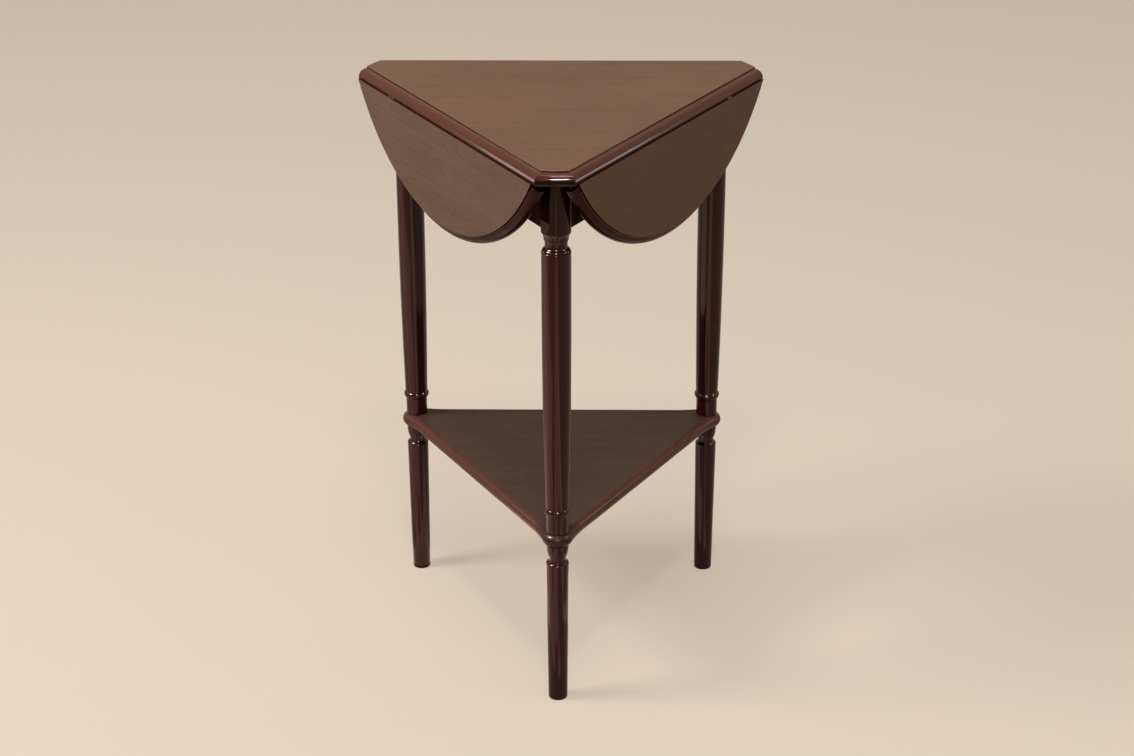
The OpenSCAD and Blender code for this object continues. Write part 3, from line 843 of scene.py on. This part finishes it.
def add_centre_top(seed):
    top = make_centre_top()
    # Painted shade: the moulding darker towards its underside, and the corner clips near black below
    # their highlight
    edge_shade = [("DOT_PRODUCT", UP, PIN_Z - 2, PIN_Z + 3, 0.6)]
    clip_shade = [("DOT_PRODUCT", UP, PIN_Z + 2, PIN_Z + 6, 0.1)]
    dress(
        top,
        face_wood("top", TOP_FACE, LEVEL, seed),
        rim_wood("top", RIM, LEVEL, seed, 0.08, 0.22, edge_shade),
        lacquer("top_arris", ARRIS_WEAR_AND_GLINT, LEVEL, seed + ARRIS_SEED, 0.2, tint=WARM_REFLECTION_TINT),
        # Painted shade: a dark line in the quirk, and near black walls for the hinge slots under the
        # moulding
        shaded_wood("top_quirk", QUIRK_SHADE, LEVEL, seed + QUIRK_SEED),
        lacquer("top_clip", CLIP, LEVEL, seed + CLIP_SEED, 0.14, 0.05, 0.2, WARM_REFLECTION_TINT, painted_shades=clip_shade),
        shaded_wood("top_slot", SHADE, LEVEL, seed + SLOT_SEED),
    )

    # Tests with their material's number: a face that passes several keeps the last
    tests = {1: off_face, 4: on_clip, 2: on_arris, 3: in_quirk, 5: in_hinge_slot}
    for slot_no, test in tests.items():
        by_place(top, test, slot_no)
    finish_piece(top, "top", "top_wood", "centre_top")


def add_leaf(key, turn, seed):
    angle = SIDES[key]
    leaf = make_leaf("leaf_board_" + key, angle)
    out = outwards(angle)
    face_n = JOINT + TABLE_H - PIN_Z + out.y * AXIS_Y
    # Painted shade: the rim darker towards the leaf's underside
    edge_shade = [("DOT_PRODUCT", out, face_n - 11, face_n - 4, 0.35)]
    name = "leaf_" + key
    dress(
        leaf,
        face_wood(name, LEAF_FACES[key], turn, seed),
        rim_wood(name, LEAF_RIM, turn, seed, 0.03, 0.02, edge_shade),
        shaded_wood(name + "_quirk", SHADE, turn, seed + QUIRK_SEED),
    )
    by_place(leaf, off_face, 1)
    # Painted shade: arris, quirk, hollow and lip along the joint go near black as the gap's shadow
    for test in (on_arris, in_quirk, in_cove(angle), on_lip(angle)):
        by_place(leaf, test, 2)
    hang(leaf, angle)
    smooth(leaf)
    finish_piece(leaf, "leaf_" + key, "top_wood", "leaf_" + key)


def add_apron(key, turn, seed):
    apron = make_apron(key)
    dress(apron, lacquer("apron_wood_" + key, scaled(RED, 0.8), turn, seed, 0.3, coat=0))
    finish_piece(apron, "base", "apron_wood", "apron_" + key)


def add_leg(key, seed):
    upper = make_upper_leg(key)
    # The run-outs take a painted sheen, lighter than the leg's wood
    run_out_sheen = lacquer("run_out_sheen_" + key, RUN_OUT_SHEEN, UPRIGHT, seed + RUN_OUT_SEED, 0.2)
    dress(upper, leg_wood("leg_wood_" + key, seed), run_out_sheen)
    by_place(upper, on_run_out, 1)
    finish_piece(upper, "base", "turned_wood", "upper_leg_" + key)
    lower = make_lower_leg(key)
    dress(lower, leg_wood("foot_wood_" + key, seed + FOOT_SEED))
    finish_piece(lower, "base", "turned_wood", "lower_leg_" + key)


def add_shelf():
    shelf = make_shelf()
    front_lobe = at(LEGS["front"], LEG_CIRCLE, 0, SHELF_Z - SHELF_T / 2)
    # Painted shade: the edge darker towards the bottom, and darker round the front leg's lobe
    shelf_shades = [
        ("DOT_PRODUCT", UP, SHELF_Z - SHELF_T + 2, SHELF_Z - 7, 0.12),
        ("DISTANCE", front_lobe, 15, 34, 0.42),
    ]
    dress(
        shelf,
        lacquer("shelf_face", SHELF, LEVEL, 41, 0.45, spec=0.05, coat=0),
        lacquer("shelf_edge", SHELF_RIM, LEVEL, 42, 0.32, spec=0.08, painted_shades=shelf_shades),
    )
    by_place(shelf, off_both_faces, 1)
    finish_piece(shelf, "base", "shelf_wood", "shelf")


def dress_inner_parts():
    """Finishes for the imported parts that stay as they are."""
    by_slot = {
        "brass": metal("brass_plate", (0.56, 0.38, 0.15), 0.34, (0.25, 0.15, 0.06)),
        "steel": metal("zinc_plate", (0.55, 0.55, 0.56), 0.32, (0.35, 0.34, 0.32)),
        "inner_wood": raw_wood("inner_wood", (0.26, 0.13, 0.065), LEVEL, 51),
        "felt": felt("felt_pads", (0.03, 0.028, 0.026)),
    }
    for part in frame["record"]["subparts"]:
        if part["material_slot"] in by_slot:
            dress(frame["nodes"][part["node"]], by_slot[part["material_slot"]])


add_centre_top(1)
for seed, key in enumerate(SIDES, 3):
    grain_turn = (0, 0, math.radians(-(SIDES[key] + 90)))
    add_leaf(key, grain_turn, seed)
    add_apron(key, grain_turn, seed + APRON_SEED)
for seed, key in enumerate(LEGS, 31):
    add_leg(key, seed)
add_shelf()
dress_inner_parts()

# Floor, light and world
PALE = (0.85, 0.71, 0.575)
FLOOR_HALF = 6.0
WORLD_LEVEL = 0.25
DAYLIGHT = (1, 0.98, 0.95)
SHEEN_Z = 0.004
AIM_Z = 0.38


def plainly_seen(tree):
    """1 for camera, glossy and transmission rays, 0 for the light that falls on the object."""
    path = tree.nodes.new("ShaderNodeLightPath")
    total = path.outputs["Is Camera Ray"]
    for key in ("Is Glossy Ray", "Is Transmission Ray"):
        node = tree.nodes.new("ShaderNodeMath")
        node.operation = "MAXIMUM"
        tree.links.new(total, node.inputs[0])
        tree.links.new(path.outputs[key], node.inputs[1])
        total = node.outputs[0]
    return total


def floor_material():
    """Pale where it is seen, with the object's shadow, greyer for the light that it sends back."""
    m = Nodes("floor")
    cast = m.add("ShaderNodeBsdfDiffuse")
    cast.inputs[0].default_value = (0.36, 0.33, 0.30, 1)
    seen = m.add("ShaderNodeBsdfDiffuse")
    seen.inputs[0].default_value = (*scaled(PALE, 0.4), 1)
    glow = m.add("ShaderNodeEmission")
    glow.inputs[0].default_value = (*PALE, 1)
    glow.inputs[1].default_value = 0.5
    both = m.add("ShaderNodeAddShader")
    m.link(seen.outputs[0], both.inputs[0])
    m.link(glow.outputs[0], both.inputs[1])
    eye = m.add("ShaderNodeMixShader")
    m.link(plainly_seen(m.tree), eye.inputs[0])
    m.link(cast.outputs[0], eye.inputs[1])
    m.link(both.outputs[0], eye.inputs[2])
    clear = m.add("ShaderNodeBsdfTransparent")
    pick = m.add("ShaderNodeMixShader")
    geo = m.add("ShaderNodeNewGeometry")
    m.link(geo.outputs["Backfacing"], pick.inputs[0])
    m.link(eye.outputs[0], pick.inputs[1])
    m.link(clear.outputs[0], pick.inputs[2])
    m.link(pick.outputs[0], m.out.inputs[0])
    m.tree.nodes.remove(m.bsdf)
    return m.mat


def stage_floor():
    mesh = bpy.data.meshes.new("floor")
    h = FLOOR_HALF
    mesh.from_pydata([(-h, -h, 0), (h, -h, 0), (h, h, 0), (-h, h, 0)], [], [(0, 1, 2, 3)])
    floor = new_object("floor", mesh)
    dress(floor, floor_material())


def area_light(name, width, height, energy, color):
    data = bpy.data.lights.new(name, "AREA")
    data.shape = "RECTANGLE"
    data.size, data.size_y = width, height
    data.energy = energy
    data.color = color
    obj = new_object(name, data)
    obj.visible_camera = False
    return obj


def lamp(name, azimuth, elevation, distance, width, height, level, color=(1, 1, 1)):
    """A soft box aimed at the table; level is what a white card facing it shows."""
    a, e = math.radians(azimuth), math.radians(elevation)
    way = Vector((math.cos(e) * math.cos(a), math.cos(e) * math.sin(a), math.sin(e)))
    obj = area_light(name, width, height, level * (math.pi * distance) ** 2, color)
    obj.location = Vector((0, AXIS_Y * MM, AIM_Z)) + way * distance
    obj.rotation_mode = "QUATERNION"
    obj.rotation_quaternion = (-way).to_track_quat("-Z", "Y")
    return obj


def catch_light(*settings):
    """A lamp that lacquer mirrors and that adds no light to the surface colours."""
    lamp(*settings).visible_diffuse = False


def floor_sheen(name, start, azimuth, near, far, width, bright, color):
    """A low strip on the floor that the turned legs mirror as an upright line of light."""
    length = far - near
    obj = area_light(name, length, width, bright * math.pi * length * width, color)
    mid = start + outwards(azimuth) * (near + far) / 2
    obj.location = (mid.x, mid.y, SHEEN_Z)
    obj.rotation_euler = (math.pi, 0, -math.radians(azimuth))
    obj.visible_diffuse = False


def world_light():
    """Soft light all round, and the floor's pale colour behind everything that is seen."""
    world = bpy.data.worlds.new("world")
    scene.world = world
    world.use_nodes = True
    tree = world.node_tree
    tree.nodes.clear()
    out = tree.nodes.new("ShaderNodeOutputWorld")
    lit = tree.nodes.new("ShaderNodeBackground")
    seen = tree.nodes.new("ShaderNodeBackground")
    lit.inputs[0].default_value = (*DAYLIGHT, 1)
    lit.inputs[1].default_value = WORLD_LEVEL
    seen.inputs[0].default_value = (*PALE, 1)
    mix = tree.nodes.new("ShaderNodeMixShader")
    tree.links.new(plainly_seen(tree), mix.inputs[0])
    tree.links.new(lit.outputs[0], mix.inputs[1])
    tree.links.new(seen.outputs[0], mix.inputs[2])
    tree.links.new(mix.outputs[0], out.inputs[0])


stage_floor()
world_light()

# Azimuth and elevation in degrees, distance, width and height in metres, level
lamp("key", 192, 42, 2.8, 0.8, 0.8, 0.68, DAYLIGHT)
lamp("front", -88, 60, 2.6, 0.3, 0.3, 0.2)
lamp("above", -90, 80, 2.6, 1.0, 1.0, 0.28)
lamp("fill", -20, 14, 2.6, 0.8, 0.8, 0.12)
catch_light("catch_key", 194, 46, 2.4, 0.6, 0.6, 3.8)
catch_light("catch_front", -89, 27, 2.4, 0.3, 0.3, 0.95)
catch_light("catch_fill", -5, 38, 2.4, 0.3, 0.3, 0.35)
catch_light("behind_left", 169, 12, 0.86, 0.16, 0.26, 0.1)
catch_light("behind_right", 13, 9, 1.16, 0.26, 0.26, 0.08)

# Azimuth, width close to the leg and further out, brightness, colour
SHEENS = {
    "left": (196, 0.12, 0.5, 1.3, (1, 0.6, 0.5)),
    "front": (-87, 0.03, 0.14, 1.6, (1, 0.62, 0.54)),
}
SHEEN_START, SHEEN_MID, SHEEN_END = 0.05, 0.4, 1.6
for key, leg_angle in LEGS.items():
    foot = at(leg_angle, LEG_CIRCLE, 0, 0)
    for side, (azimuth, slim, wide, bright, color) in SHEENS.items():
        near, far = f"{side}_near_{key}", f"{side}_far_{key}"
        floor_sheen(near, foot, azimuth, SHEEN_START, SHEEN_MID, slim, bright, color)
        floor_sheen(far, foot, azimuth, SHEEN_MID, SHEEN_END, wide, bright, color)
scene.view_settings.view_transform = "Standard"
